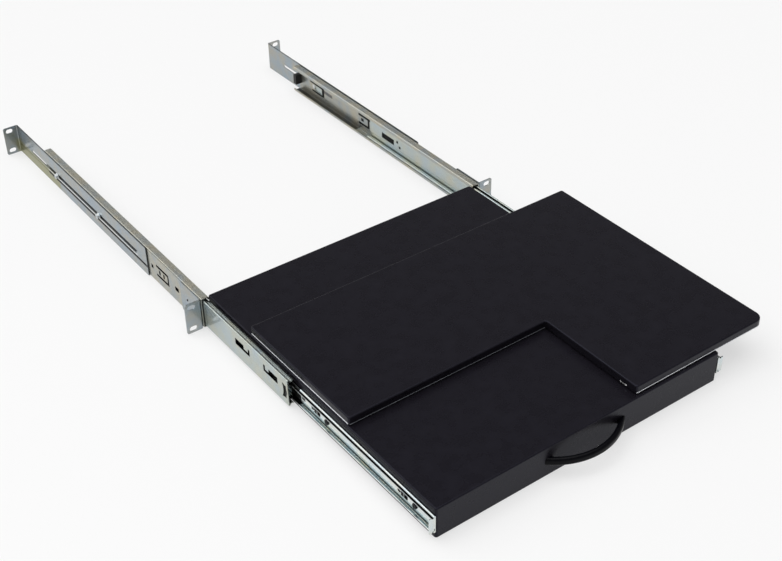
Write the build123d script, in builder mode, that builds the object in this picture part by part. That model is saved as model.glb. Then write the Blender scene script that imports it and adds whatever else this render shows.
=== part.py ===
"""Rack keyboard shelf.

A pan-shaped steel tray runs out of a 19 inch rack on two three-part ball-bearing slides,
and carries an L-shaped plate for a keyboard and a mouse, which swivels on the tray to fit
between the rack's posts. All lengths are in millimetres.

Frame: X to the right, Y to the back, Z up. The origin is in the plane of the front ears'
faces, midway between the ears and midway between the two holes of each ear. The shelf is
drawn with its drawer fully out, as it is used.
"""

import os
from math import asin, cos, degrees, radians, sin

from build123d import *

# Across the rack: the standard's hole columns lie 465.1 apart, on ears 482.6 over all
arm_span = 440.6
ear_width = 21.0
ear_hole_inset = 8.75
hole_pitch = 31.75
ear_height = 43.6
ear_slot_length = 10.5
ear_slot_width = 6.8

# Brackets
bracket_sheet = 1.5
bracket_bend = 2.0
bracket_corner = 2.5
front_arm_length = 50.0
rear_ear_y = 544.0
rear_arm_length = 405.0
rear_arm_slot_front = 30.0
rear_arm_slot_rear = 47.0
rear_arm_slot_width = 5.0
arm_crease_z = -7.0
arm_crease_width = 1.6
arm_crease_depth = 0.6
arm_crease_end = 6.0

# Slide members: lengths, sheet and section
outer_length = 450.0
slide_depth = 12.7
slide_height = 43.0
outer_sheet = 1.2
middle_sheet = 1.0
inner_sheet = 1.2
outer_bend = 1.6
race_bend = 0.8
outer_lip_height = 3.7
outer_lip_back = 1.1
member_gap = 1.2
middle_height = 37.4
middle_shoulder = 1.4
groove_slope = 1.0
groove_floor = 3.3
middle_lip = (1.1, 1.5)
member_shortfall = 8.0
inner_shoulder = 1.15
inner_groove_slope = (0.9, 1.66)
inner_groove_floor = 3.85
inner_lip = (1.1, 2.16)
inner_bend = 0.7
middle_travel = 190.0

# Balls and their cages
outer_ball_radius = 1.95
inner_ball_radius = 2.38
race_gap = 0.1
cage_sheet = 0.5
cage_gap = 0.35
cage_hole_gap = 0.15
cage_bend = 0.8
outer_ball_depth = 7.15
inner_ball_depth = 8.2
outer_cage_length = 220.0
outer_cage_front = 64.0
outer_cage_reach = 7.8
outer_ball_count = 6
outer_ball_pitch = 34.0
inner_cage_length = 176.0
inner_cage_inset = 4.0
inner_cage_reach = 6.5
inner_ball_count = 5
inner_ball_pitch = 38.0
cage_end = 12.0
cage_window_size = (28.0, 20.0)

# Punched features of the outer member's web, from its front end back
tongue_front = 86.0
tongue_length = 30.0
tongue_half_height = 7.0
tongue_cut = 2.8
tongue_corner = 3.0
tongue_slot_ys = (97.0, 108.0)
tongue_slot_size = (6.0, 3.2)
web_oval_y = 63.0
web_oval_size = (8.5, 5.4)
web_hole_y = 128.0
web_hole_radius = 2.4

# Punched features of the middle member's web, from its front end back or its rear end forwards
web_window_size = (18.0, 8.0)
web_window_places = (105.0, 31.0)
web_window_z = 5.0
web_tail_lengths = (12.0, 10.0)
web_tail_width = 3.0
web_tail_hook = 7.0
web_tail_bend = 1.6
rear_window_size = (30.0, 9.0)
rear_window_place = 45.0
rear_window_z = -2.0
web_square_size = 4.0
web_square_places = ((68.0, 2.5), (74.0, -4.5))
crescent_place = 12.0
crescent_half_height = 10.2
crescent_outer_bulge = 10.0
crescent_inner_bulge = 2.5

# Punched features of the inner member's web, from its front end back
dot_radius = 1.2
dot_step = 5.5
dot_bar_size = (1.6, 7.0)
dot_block_size = (5.0, 5.0)
dot_places = (221.0, 59.0)
inner_tab_sheet = 1.2
inner_tab_width = 8.2
inner_tab_height = 21.0

# Fasteners
stud_pitch = 130.0
stud_rear_inset = 42.0
stud_radius = 2.0
stud_head_radius = 3.4
stud_head_thickness = 0.5
stud_end = 0.6
stud_gap = 0.05
washer_radius = 4.5
washer_thickness = 0.8
stud_nut_across_flats = 7.0
stud_nut_thickness = 2.9
bracket_screw_ys = (14.0, 33.5)
bracket_screw_z = 1.5
bracket_screw_radius = 2.0
bracket_screw_head_radius = 3.4
cross_recess_size = (3.6, 0.8)
cross_recess_depth = 0.9
tray_bolt_front_places = (33.0, 194.0)
tray_bolt_rear_inset = 52.0
tray_bolt_radius = 2.0
tray_bolt_head_radius = 3.6
tray_bolt_head_height = 1.8
tray_bolt_head_fillet = 0.8
tray_bolt_end = 0.8
tray_nut_across_flats = 7.0
tray_nut_thickness = 3.2
bolt_gap = 0.1

# Rear stops of the outer members
stop_size = (11.0, 7.0, 16.0)
stop_rear_inset = 4.0
stop_fillet = 1.2
stop_peg_radius = 2.0

# Tray
tray_overrun = 5.0
tray_height = 41.0
tray_sheet = 1.2
tray_corner = 3.0
tray_bend = 1.8
tray_lip = 12.0

# L-shaped top plate
plate_width = 490.0
plate_depth = 352.0
plate_side_overhang = 79.0
plate_front_inset = 4.0
plate_skirt = 10.2
plate_top_above_tray = 12.0
plate_sheet = 1.2
plate_bend = 1.8
plate_corner = 12.0
plate_edge_corner = 3.0
notch_width = 282.0
notch_depth = 150.0
skirt_slot_place = 21.0
skirt_slot_length = 8.0
skirt_slot_width = 1.8
skirt_slot_lift = 2.2

# Swivel of the top plate
pivot_x = 52.5
pivot_y = -217.5
pivot_stud_radius = 6.0
pivot_running_gap = 0.05
pivot_face_gap = 0.3
pivot_flange_radius = 40.0
pivot_flange_thickness = 2.0
pivot_boss_radius = 22.0
bearing_radius = 30.0
bearing_spigot_radius = 9.0
bearing_thickness = 4.0
backing_size = 100.0
backing_corner = 8.0
backing_sheet = 2.0
pivot_washer_radius = 14.0
pivot_washer_thickness = 1.5
pivot_nut_across_flats = 18.0
pivot_nut_thickness = 7.0
pivot_thread_reach = 1.5
stop_pin_radius = 2.5
stop_pin_orbit = 36.0
stop_pin_angle = 45.0
stop_pin_reach = 3.0
stop_slot_gap = 0.6
swivel_angle = 90.0
glide_radius = 9.0
glide_orbit = 115.0
glide_first_angle = 20.0
glide_count = 4
glide_fillet = 1.0

# Handle
handle_span = 108.0
handle_rise = 20.6
handle_trim_angle = 6.0
handle_bar_depth = 7.0
handle_bar_height = 10.0
handle_screw_span = 104.0
handle_screw_radius = 1.5
handle_screw_grip = 3.5
handle_screw_head_radius = 2.8
handle_screw_head_height = 1.8

# Derived places of the ears
ear_span = arm_span + 2 * ear_width
hole_span = ear_span - 2 * ear_hole_inset
rear_arm_front_y = rear_ear_y - rear_arm_length
rear_slot_front_y = rear_arm_front_y + rear_arm_slot_front
rear_slot_rear_y = rear_ear_y - rear_arm_slot_rear

# Derived places across the right-hand slide
arm_outer_x = arm_span / 2
arm_inner_x = arm_outer_x - bracket_sheet
tray_half_width = arm_inner_x - slide_depth
outer_half_height = slide_height / 2
outer_flange_z = outer_half_height - outer_sheet / 2
outer_web_x = arm_inner_x - outer_sheet / 2
stud_length = bracket_sheet + outer_sheet + washer_thickness + stud_nut_thickness + stud_end
middle_web_depth = outer_sheet + member_gap + middle_sheet / 2
middle_shoulder_z = middle_height / 2 - middle_sheet / 2
outer_ball_z = outer_half_height - outer_sheet - race_gap - outer_ball_radius
groove_z = outer_ball_z - outer_ball_radius - race_gap - middle_sheet / 2
inner_ball_z = groove_z - middle_sheet / 2 - race_gap - inner_ball_radius
inner_flange_z = inner_ball_z - inner_ball_radius - race_gap - inner_sheet / 2
inner_web_depth = slide_depth - inner_sheet / 2
outer_cage_web_depth = outer_sheet + cage_gap + cage_sheet / 2
outer_cage_z = (outer_half_height - outer_sheet + middle_height / 2) / 2
inner_cage_web_depth = middle_web_depth + middle_sheet / 2 + cage_gap + cage_sheet / 2

# Derived places along the slides, with the drawer out by the outer member's whole length
tray_front_y = -outer_length
tray_length = outer_length + tray_overrun
middle_front_y = -middle_travel
middle_rear_y = middle_front_y + outer_length - member_shortfall
inner_front_y = tray_front_y
inner_rear_y = inner_front_y + outer_length - member_shortfall
inner_cage_front = middle_front_y + inner_cage_inset
stop_y = outer_length - stop_rear_inset
stud_ys = (outer_length - stud_rear_inset - stud_pitch, outer_length - stud_rear_inset)
tray_bolt_ys = (
    *[inner_front_y + place for place in tray_bolt_front_places],
    inner_rear_y - tray_bolt_rear_inset,
)
web_window_ys = [middle_front_y + place for place in web_window_places]
web_tail_z = web_window_z - (web_window_size[1] - web_tail_width) / 2
web_squares = [(middle_rear_y - place, z) for place, z in web_square_places]
rear_window_y = middle_rear_y - rear_window_place
crescent_y = middle_front_y + crescent_place
dot_ys = [inner_front_y + place for place in dot_places]

# Derived heights and edges of the tray and the plate
tray_top_z = tray_height / 2
tray_bottom_z = -tray_height / 2
plate_top_z = tray_top_z + plate_top_above_tray
plate_under_z = plate_top_z - plate_sheet
plate_right_x = tray_half_width + plate_side_overhang
plate_left_x = plate_right_x - plate_width
plate_front_y = tray_front_y + plate_front_inset
plate_rear_y = plate_front_y + plate_depth
notch_x = plate_left_x + notch_width
notch_y = plate_front_y + notch_depth


def across(depth: float) -> float:
    """Give the X of a point that lies this deep in the right-hand slide."""
    return arm_inner_x - depth


def save(piece: Part, label: str) -> None:
    """Label one finished piece and write it."""
    piece.label = label
    export_step(piece, f"parts/{label}.step")


def save_pair(right_piece: Part, name: str) -> None:
    """Write a right-hand piece and its mirror image on the left."""
    save(right_piece, f"{name}_right")
    save(mirror(right_piece, about=Plane.YZ), f"{name}_left")


def save_both_sides(right_piece: Part, name: str) -> None:
    """Write right-hand fasteners and their mirror images as one group."""
    with BuildPart() as group:
        add(right_piece)
        mirror(about=Plane.YZ)
    save(group.part, name)


def side_places(x: float, ys: tuple[float, ...], z: float = 0) -> list[Location]:
    """Place features that point out of the right-hand side, one for each distance back."""
    return [Location((x, y, z), (0, 90, 0)) for y in ys]


def folded_bracket(ear_y: float, ear_side: int, arm_length: float) -> Part:
    """Fold an ear outwards from an arm, and punch the ear's two slots.

    ear_side is 1 where the sheet lies behind the ear's face, and -1 where it lies in front.
    """
    ear_mid_y = ear_y + ear_side * bracket_sheet / 2
    arm_mid_x = arm_outer_x - bracket_sheet / 2
    arm_end_y = ear_y + ear_side * arm_length
    with BuildPart() as bracket:
        with BuildSketch(Plane.XY):
            with BuildLine():
                FilletPolyline(
                    (ear_span / 2, ear_mid_y),
                    (arm_mid_x, ear_mid_y),
                    (arm_mid_x, arm_end_y),
                    radius=bracket_bend,
                )
            trace(line_width=bracket_sheet)
        extrude(amount=ear_height / 2, both=True)
        with BuildSketch(Plane.XZ.offset(-ear_mid_y)):
            with Locations((hole_span / 2, 0)):
                with GridLocations(0, hole_pitch, 1, 2):
                    SlotOverall(ear_slot_length, ear_slot_width)
        extrude(amount=bracket_sheet, both=True, mode=Mode.SUBTRACT)
        fillet(bracket.edges().filter_by(Axis.Y).group_by(Axis.X)[-1], bracket_corner)
        arm_end = bracket.edges().filter_by(Axis.X).sort_by(Axis.Y, reverse=ear_side > 0)[:2]
        fillet(arm_end, bracket_corner)
    return bracket.part


def formed_member(
    upper: list[tuple[float, float]], bend: float, sheet: float, front_y: float, rear_y: float
) -> Part:
    """Roll-form a member from the upper half of its centre line, which starts at the web."""
    lower = [(x, -z) for x, z in upper]
    with BuildPart() as member:
        with BuildSketch(Plane.XZ.offset(-rear_y)):
            with BuildLine():
                FilletPolyline(*upper[::-1], *lower, radius=bend)
            trace(line_width=sheet)
        extrude(amount=rear_y - front_y)
    return member.part


def ball_ys(cage_front_y: float, count: int, pitch: float) -> list[float]:
    """Space a row of balls from its cage's front end back."""
    return [cage_front_y + cage_end + i * pitch for i in range(count)]


def ball_cage(web: float, reach: float, z: float, front_y: float, rear_y: float) -> Part:
    """Fold a cage's strip: a web between two members and a flange for each row of balls."""
    upper = [(across(web), z), (across(web + reach), z)]
    return formed_member(upper, cage_bend, cage_sheet, front_y, rear_y)


def orbit(radius: float, angle: float) -> tuple[float, float]:
    """Give the place at this distance and angle round the pivot."""
    return (pivot_x + radius * cos(radians(angle)), pivot_y + radius * sin(radians(angle)))


def stop_slot() -> None:
    """Draw the arc slot that a pin on the plate travels in as the plate swivels."""
    width = 2 * (stop_pin_radius + stop_slot_gap)
    first_angle = stop_pin_angle - swivel_angle
    with BuildLine() as path:
        CenterArc((pivot_x, pivot_y), stop_pin_orbit, first_angle, swivel_angle)
    trace(path.line, line_width=width)
    with Locations(orbit(stop_pin_orbit, first_angle), orbit(stop_pin_orbit, stop_pin_angle)):
        Circle(width / 2)


os.makedirs("parts", exist_ok=True)

# Front bracket: a short arm screwed to the outer member
with BuildPart() as front_bracket:
    add(folded_bracket(0, 1, front_arm_length))
    with Locations(*side_places(arm_outer_x, bracket_screw_ys, bracket_screw_z)):
        CounterSinkHole(
            radius=bracket_screw_radius + bolt_gap,
            counter_sink_radius=bracket_screw_head_radius + bolt_gap,
            depth=bracket_sheet,
            counter_sink_angle=90,
        )
save_pair(front_bracket.part, "front_bracket")

# Rear bracket: a long arm whose slot slides on the outer member's studs
with BuildPart() as rear_bracket:
    add(folded_bracket(rear_ear_y, -1, rear_arm_length))
    with BuildSketch(Plane.YZ.offset(arm_outer_x)):
        with Locations(((rear_slot_front_y + rear_slot_rear_y) / 2, 0)):
            SlotOverall(rear_slot_rear_y - rear_slot_front_y, rear_arm_slot_width)
    extrude(amount=-bracket_sheet, mode=Mode.SUBTRACT)
    with BuildSketch(Plane.YZ.offset(arm_outer_x)):
        with Locations((rear_ear_y - rear_arm_length / 2, arm_crease_z)):
            Rectangle(rear_arm_length - 2 * arm_crease_end, arm_crease_width)
    extrude(amount=-arm_crease_depth, mode=Mode.SUBTRACT)
save_pair(rear_bracket.part, "rear_bracket")

# Outer slide member: a C section whose lips hold the outer balls
outer_lip_x = across(slide_depth - outer_lip_back - outer_sheet / 2)
outer_upper = [
    (outer_web_x, outer_flange_z),
    (outer_lip_x, outer_flange_z),
    (outer_lip_x, outer_flange_z - outer_lip_height),
]
with BuildPart() as outer_slide:
    add(formed_member(outer_upper, outer_bend, outer_sheet, 0, outer_length))
    with Locations(*side_places(arm_inner_x, stud_ys)):
        Cylinder(stud_radius + stud_gap, 2 * outer_sheet, mode=Mode.SUBTRACT)
    with Locations(*side_places(arm_inner_x - outer_sheet, stud_ys)):
        Cylinder(stud_head_radius + stud_gap, 2 * stud_head_thickness, mode=Mode.SUBTRACT)
    with Locations(*side_places(arm_inner_x, bracket_screw_ys, bracket_screw_z)):
        Cylinder(bracket_screw_radius + bolt_gap, 2 * outer_sheet, mode=Mode.SUBTRACT)
    with Locations(*side_places(arm_inner_x, (stop_y,))):
        Cylinder(stop_peg_radius + stud_gap, 2 * outer_sheet, mode=Mode.SUBTRACT)
    with BuildSketch(Plane.YZ.offset(arm_inner_x)):
        with Locations((web_oval_y, 0)):
            SlotOverall(*web_oval_size)
        with Locations((web_hole_y, 0)):
            Circle(web_hole_radius)
        with Locations(*[(y, 0) for y in tongue_slot_ys]):
            SlotOverall(*tongue_slot_size, rotation=90)
    extrude(amount=-outer_sheet, mode=Mode.SUBTRACT)
    with BuildSketch(Plane.YZ.offset(arm_inner_x)):
        with BuildLine():
            FilletPolyline(
                (tongue_front + tongue_length, tongue_half_height),
                (tongue_front, tongue_half_height),
                (tongue_front, -tongue_half_height),
                (tongue_front + tongue_length, -tongue_half_height),
                radius=tongue_corner,
            )
        trace(line_width=tongue_cut)
    extrude(amount=-outer_sheet, mode=Mode.SUBTRACT)
save_pair(outer_slide.part, "outer_slide")

# Studs pressed flush into the outer member, with the washers and nuts that clamp the rear arm
with BuildPart() as slide_studs:
    with Locations(*side_places(arm_inner_x - outer_sheet, stud_ys)):
        Cylinder(
            stud_head_radius, stud_head_thickness, align=(Align.CENTER, Align.CENTER, Align.MIN)
        )
        Cylinder(stud_radius, stud_length, align=(Align.CENTER, Align.CENTER, Align.MIN))
save_both_sides(slide_studs.part, "slide_studs")

with BuildPart() as stud_washers:
    with Locations(*side_places(arm_outer_x + washer_thickness / 2, stud_ys)):
        Cylinder(washer_radius, washer_thickness)
        Cylinder(stud_radius + stud_gap, washer_thickness, mode=Mode.SUBTRACT)
save_both_sides(stud_washers.part, "stud_washers")


def hexagon_nut(across_flats: float, bore_radius: float, thickness: float) -> Part:
    """Make a nut that stands on the XY plane."""
    with BuildPart() as nut:
        with BuildSketch():
            RegularPolygon(across_flats / 2, 6, major_radius=False)
            Circle(bore_radius, mode=Mode.SUBTRACT)
        extrude(amount=thickness)
    return nut.part


stud_nut = hexagon_nut(stud_nut_across_flats, stud_radius + stud_gap, stud_nut_thickness)
with BuildPart() as stud_nuts:
    with Locations(*side_places(arm_outer_x + washer_thickness, stud_ys)):
        add(stud_nut)
save_both_sides(stud_nuts.part, "stud_nuts")

# Countersunk screws through the front bracket into the outer member
with BuildPart() as bracket_screws:
    with Locations(*side_places(arm_outer_x, bracket_screw_ys, bracket_screw_z)):
        Cylinder(
            bracket_screw_radius,
            bracket_sheet + outer_sheet,
            align=(Align.CENTER, Align.CENTER, Align.MAX),
        )
        Cone(
            bracket_screw_radius,
            bracket_screw_head_radius,
            bracket_screw_head_radius - bracket_screw_radius,
            align=(Align.CENTER, Align.CENTER, Align.MAX),
        )
        for turn in (0, 90):
            Box(
                *cross_recess_size,
                2 * cross_recess_depth,
                rotation=(0, 0, turn),
                mode=Mode.SUBTRACT,
            )
save_both_sides(bracket_screws.part, "bracket_screws")

# Rear stop: a moulded block pegged through the outer member's web
with BuildPart() as rear_stop:
    with Locations((across(outer_sheet), stop_y, 0)):
        Box(*stop_size, align=(Align.MAX, Align.CENTER, Align.CENTER))
    fillet(rear_stop.edges().filter_by(Axis.Y), stop_fillet)
    with Locations(*side_places(arm_inner_x - outer_sheet, (stop_y,))):
        Cylinder(stop_peg_radius, outer_sheet, align=(Align.CENTER, Align.CENTER, Align.MIN))
save_pair(rear_stop.part, "rear_stop")

# Middle slide member: its grooved flanges run on the outer balls and carry the inner ones
middle_xs = [middle_web_depth]
for step in (middle_shoulder, groove_slope, groove_floor, middle_lip[0]):
    middle_xs.append(middle_xs[-1] + step)
middle_zs = [middle_shoulder_z, middle_shoulder_z, groove_z, groove_z, groove_z + middle_lip[1]]
middle_upper = [(across(depth), z) for depth, z in zip(middle_xs, middle_zs)]
middle_web_x = across(middle_web_depth)
with BuildPart() as middle_slide:
    add(formed_member(middle_upper, race_bend, middle_sheet, middle_front_y, middle_rear_y))
    with BuildSketch(Plane.YZ.offset(middle_web_x)):
        with Locations(*[(y, web_window_z) for y in web_window_ys]):
            Rectangle(*web_window_size)
        with Locations((rear_window_y, rear_window_z)):
            Rectangle(*rear_window_size)
        with Locations(*web_squares):
            Rectangle(web_square_size, web_square_size)
        with BuildLine():
            ThreePointArc(
                (crescent_y, crescent_half_height),
                (crescent_y - crescent_outer_bulge, 0),
                (crescent_y, -crescent_half_height),
            )
            ThreePointArc(
                (crescent_y, -crescent_half_height),
                (crescent_y - crescent_inner_bulge, 0),
                (crescent_y, crescent_half_height),
            )
        make_face()
    extrude(amount=middle_sheet, both=True, mode=Mode.SUBTRACT)
    for window_y, side, tail_length in zip(web_window_ys, (-1, 1), web_tail_lengths):
        edge_y = window_y + side * web_window_size[0] / 2
        end_y = edge_y + side * tail_length
        with BuildSketch(Plane.YZ.offset(middle_web_x)):
            with BuildLine():
                FilletPolyline(
                    (edge_y - side, web_tail_z),
                    (end_y, web_tail_z),
                    (end_y, web_tail_z + web_tail_hook),
                    radius=web_tail_bend,
                )
            trace(line_width=web_tail_width)
        extrude(amount=middle_sheet, both=True, mode=Mode.SUBTRACT)
save_pair(middle_slide.part, "middle_slide")

# Inner slide member: a C section on the tray's side, whose grooved flanges hold the inner
# balls, closed at the front by a tab
inner_depths = [inner_web_depth]
for step in (inner_shoulder, inner_groove_slope[0], inner_groove_floor, inner_lip[0]):
    inner_depths.append(inner_depths[-1] - step)
inner_shoulder_z = inner_flange_z + inner_groove_slope[1]
inner_zs = [
    inner_shoulder_z,
    inner_shoulder_z,
    inner_flange_z,
    inner_flange_z,
    inner_flange_z + inner_lip[1],
]
inner_upper = [(across(depth), z) for depth, z in zip(inner_depths, inner_zs)]
with BuildPart() as inner_slide:
    add(formed_member(inner_upper, inner_bend, inner_sheet, inner_front_y, inner_rear_y))
    with Locations((tray_half_width, inner_front_y, 0)):
        Box(
            inner_tab_width,
            inner_tab_sheet,
            inner_tab_height,
            align=(Align.MIN, Align.MIN, Align.CENTER),
        )
    with Locations(*side_places(tray_half_width, tray_bolt_ys)):
        Cylinder(tray_bolt_radius + bolt_gap, 4 * inner_sheet, mode=Mode.SUBTRACT)
    with BuildSketch(Plane.YZ.offset(tray_half_width)):
        for dot_y in dot_ys:
            with Locations((dot_y, 0)):
                Circle(dot_radius)
            with Locations((dot_y - dot_step, 0)):
                Rectangle(*dot_bar_size)
            with Locations((dot_y - 2 * dot_step, 0)):
                Rectangle(*dot_block_size)
    extrude(amount=inner_sheet, mode=Mode.SUBTRACT)
save_pair(inner_slide.part, "inner_slide")

# Ball cages: the outer one rides between the outer and middle members, and the inner one
# between the middle and inner members
outer_ball_row = ball_ys(outer_cage_front, outer_ball_count, outer_ball_pitch)
outer_cage_hole = (
    outer_ball_radius**2 - (outer_cage_z - cage_sheet / 2 - outer_ball_z) ** 2
) ** 0.5 + cage_hole_gap
with BuildPart() as outer_cage:
    add(
        ball_cage(
            outer_cage_web_depth,
            outer_cage_reach,
            outer_cage_z,
            outer_cage_front,
            outer_cage_front + outer_cage_length,
        )
    )
    with BuildSketch():
        with Locations(*[(across(outer_ball_depth), y) for y in outer_ball_row]):
            Circle(outer_cage_hole)
    extrude(amount=outer_half_height, both=True, mode=Mode.SUBTRACT)
save_pair(outer_cage.part, "outer_cage")

inner_ball_row = ball_ys(inner_cage_front, inner_ball_count, inner_ball_pitch)
with BuildPart() as inner_cage:
    add(
        ball_cage(
            inner_cage_web_depth,
            inner_cage_reach,
            inner_ball_z,
            inner_cage_front,
            inner_cage_front + inner_cage_length,
        )
    )
    with BuildSketch():
        with Locations(*[(across(inner_ball_depth), y) for y in inner_ball_row]):
            Circle(inner_ball_radius + cage_hole_gap)
    extrude(amount=outer_half_height, both=True, mode=Mode.SUBTRACT)
    with BuildSketch(Plane.YZ.offset(across(inner_cage_web_depth))):
        with Locations(*[(y + inner_ball_pitch / 2, 0) for y in inner_ball_row[:-1]]):
            Rectangle(*cage_window_size)
    extrude(amount=cage_sheet, both=True, mode=Mode.SUBTRACT)
save_pair(inner_cage.part, "inner_cage")

with BuildPart() as outer_balls:
    with Locations(
        *[(across(outer_ball_depth), y, side * outer_ball_z) for y in outer_ball_row for side in (-1, 1)]
    ):
        Sphere(outer_ball_radius)
save_pair(outer_balls.part, "outer_balls")

with BuildPart() as inner_balls:
    with Locations(
        *[(across(inner_ball_depth), y, side * inner_ball_z) for y in inner_ball_row for side in (-1, 1)]
    ):
        Sphere(inner_ball_radius)
save_pair(inner_balls.part, "inner_balls")

# Bolts and nuts that hold the inner members to the tray's sides
with BuildPart() as tray_bolts:
    with Locations(*side_places(tray_half_width + inner_sheet, tray_bolt_ys)):
        Cylinder(
            tray_bolt_head_radius,
            tray_bolt_head_height,
            align=(Align.CENTER, Align.CENTER, Align.MIN),
        )
        Cylinder(
            tray_bolt_radius,
            inner_sheet + tray_sheet + tray_nut_thickness + tray_bolt_end,
            align=(Align.CENTER, Align.CENTER, Align.MAX),
        )
    head_rims = tray_bolts.edges().filter_by(GeomType.CIRCLE).group_by(Axis.X)[-1]
    fillet(head_rims, tray_bolt_head_fillet)
    head_top_x = tray_half_width + inner_sheet + tray_bolt_head_height
    with Locations(*side_places(head_top_x, tray_bolt_ys)):
        for turn in (0, 90):
            Box(
                *cross_recess_size,
                2 * cross_recess_depth,
                rotation=(0, 0, turn),
                mode=Mode.SUBTRACT,
            )
save_both_sides(tray_bolts.part, "tray_bolts")

tray_nut = hexagon_nut(tray_nut_across_flats, tray_bolt_radius + stud_gap, tray_nut_thickness)
with BuildPart() as tray_nuts:
    nut_x = tray_half_width - tray_sheet - tray_nut_thickness
    with Locations(*side_places(nut_x, tray_bolt_ys)):
        add(tray_nut)
save_both_sides(tray_nuts.part, "tray_nuts")

# Tray: a folded pan, open below, with lips turned in along the bottom
handle_screw_places = [
    Location((side * handle_screw_span / 2, tray_front_y, 0), (90, 0, 0)) for side in (-1, 1)
]
with BuildPart() as tray:
    with BuildSketch(Plane.XY.offset(tray_bottom_z)) as tray_outline:
        with Locations((0, tray_front_y + tray_length / 2)):
            RectangleRounded(2 * tray_half_width, tray_length, tray_corner)
    extrude(amount=tray_height)
    fillet(tray.faces().sort_by(Axis.Z)[-1].edges(), tray_bend)
    offset(amount=-tray_sheet, openings=tray.faces().sort_by(Axis.Z)[0])
    with BuildSketch(Plane.XY.offset(tray_bottom_z)):
        add(tray_outline.sketch)
        with Locations((0, tray_front_y + tray_length / 2)):
            Rectangle(
                2 * (tray_half_width - tray_lip), tray_length - 2 * tray_lip, mode=Mode.SUBTRACT
            )
    extrude(amount=tray_sheet)
    for side_x in (-tray_half_width, tray_half_width):
        with Locations(*side_places(side_x, tray_bolt_ys)):
            Cylinder(tray_bolt_radius + bolt_gap, 4 * tray_sheet, mode=Mode.SUBTRACT)
    with Locations(*handle_screw_places):
        Cylinder(handle_screw_radius + bolt_gap, 4 * tray_sheet, mode=Mode.SUBTRACT)
    with BuildSketch(Plane.XY.offset(tray_top_z)):
        with Locations((pivot_x, pivot_y)):
            Circle(bearing_spigot_radius + bolt_gap)
        stop_slot()
    extrude(amount=-2 * tray_sheet, mode=Mode.SUBTRACT)
save(tray.part, "tray")

# Backing plate spot-welded under the tray round the pivot
backing_top_z = tray_top_z - tray_sheet
backing_bottom_z = backing_top_z - backing_sheet
with BuildPart() as backing_plate:
    with BuildSketch(Plane.XY.offset(backing_bottom_z)):
        with Locations((pivot_x, pivot_y)):
            RectangleRounded(backing_size, backing_size, backing_corner)
            Circle(bearing_spigot_radius + bolt_gap, mode=Mode.SUBTRACT)
    extrude(amount=backing_sheet)
    with BuildSketch(Plane.XY.offset(backing_bottom_z)):
        stop_slot()
    extrude(amount=backing_sheet, mode=Mode.SUBTRACT)
save(backing_plate.part, "backing_plate")

# Flanged bush that the plate's pivot turns in
bearing_top_z = tray_top_z + bearing_thickness
with BuildPart() as pivot_bearing:
    with Locations((pivot_x, pivot_y, tray_top_z)):
        Cylinder(
            bearing_radius, bearing_thickness, align=(Align.CENTER, Align.CENTER, Align.MIN)
        )
        Cylinder(
            bearing_spigot_radius,
            tray_sheet + backing_sheet,
            align=(Align.CENTER, Align.CENTER, Align.MAX),
        )
        Cylinder(
            pivot_stud_radius + pivot_running_gap,
            2 * (bearing_thickness + backing_sheet + tray_sheet),
            mode=Mode.SUBTRACT,
        )
save(pivot_bearing.part, "pivot_bearing")

# L-shaped top plate with its skirt turned down all round
with BuildPart() as top_plate:
    with BuildSketch(Plane.XY.offset(plate_top_z - plate_skirt)) as plate_outline:
        with BuildLine():
            Polyline(
                (plate_left_x, plate_rear_y),
                (plate_right_x, plate_rear_y),
                (plate_right_x, plate_front_y),
                (notch_x, plate_front_y),
                (notch_x, notch_y),
                (plate_left_x, notch_y),
                close=True,
            )
        make_face()
        front_right = plate_outline.vertices().sort_by(Axis.X)[-2:].sort_by(Axis.Y)[0]
        fillet(front_right, plate_corner)
        small_corners = plate_outline.vertices().filter_by(
            lambda v: v.X < plate_right_x - plate_corner - 1 or v.Y > notch_y
        )
        fillet(small_corners, plate_edge_corner)
    extrude(amount=plate_skirt)
    fillet(top_plate.faces().sort_by(Axis.Z)[-1].edges(), plate_bend)
    offset(amount=-plate_sheet, openings=top_plate.faces().sort_by(Axis.Z)[0])
    with BuildSketch(Plane.YZ.offset(notch_x)):
        with Locations(
            (plate_front_y + skirt_slot_place, plate_top_z - plate_skirt + skirt_slot_lift)
        ):
            SlotOverall(skirt_slot_length, skirt_slot_width)
    extrude(amount=2 * plate_sheet, both=True, mode=Mode.SUBTRACT)
save(top_plate.part, "top_plate")

# Pivot hub welded under the plate, with the pin that stops the swivel in the tray's arc slot
hub_flange_z = plate_under_z - pivot_flange_thickness
washer_top_z = backing_bottom_z - pivot_face_gap
pivot_nut_z = washer_top_z - pivot_washer_thickness - pivot_nut_thickness
with BuildPart() as pivot_hub:
    with Locations((pivot_x, pivot_y, plate_under_z)):
        Cylinder(
            pivot_flange_radius,
            pivot_flange_thickness,
            align=(Align.CENTER, Align.CENTER, Align.MAX),
        )
        Cylinder(
            pivot_boss_radius,
            plate_under_z - bearing_top_z - pivot_face_gap,
            align=(Align.CENTER, Align.CENTER, Align.MAX),
        )
        Cylinder(
            pivot_stud_radius,
            plate_under_z - pivot_nut_z + pivot_thread_reach,
            align=(Align.CENTER, Align.CENTER, Align.MAX),
        )
save(pivot_hub.part, "pivot_hub")

with BuildPart() as stop_pin:
    with Locations((*orbit(stop_pin_orbit, stop_pin_angle), hub_flange_z)):
        Cylinder(
            stop_pin_radius,
            hub_flange_z - backing_bottom_z + stop_pin_reach,
            align=(Align.CENTER, Align.CENTER, Align.MAX),
        )
save(stop_pin.part, "stop_pin")

with BuildPart() as pivot_washer:
    with Locations((pivot_x, pivot_y, washer_top_z - pivot_washer_thickness / 2)):
        Cylinder(pivot_washer_radius, pivot_washer_thickness)
        Cylinder(pivot_stud_radius + stud_gap, pivot_washer_thickness, mode=Mode.SUBTRACT)
save(pivot_washer.part, "pivot_washer")

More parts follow.
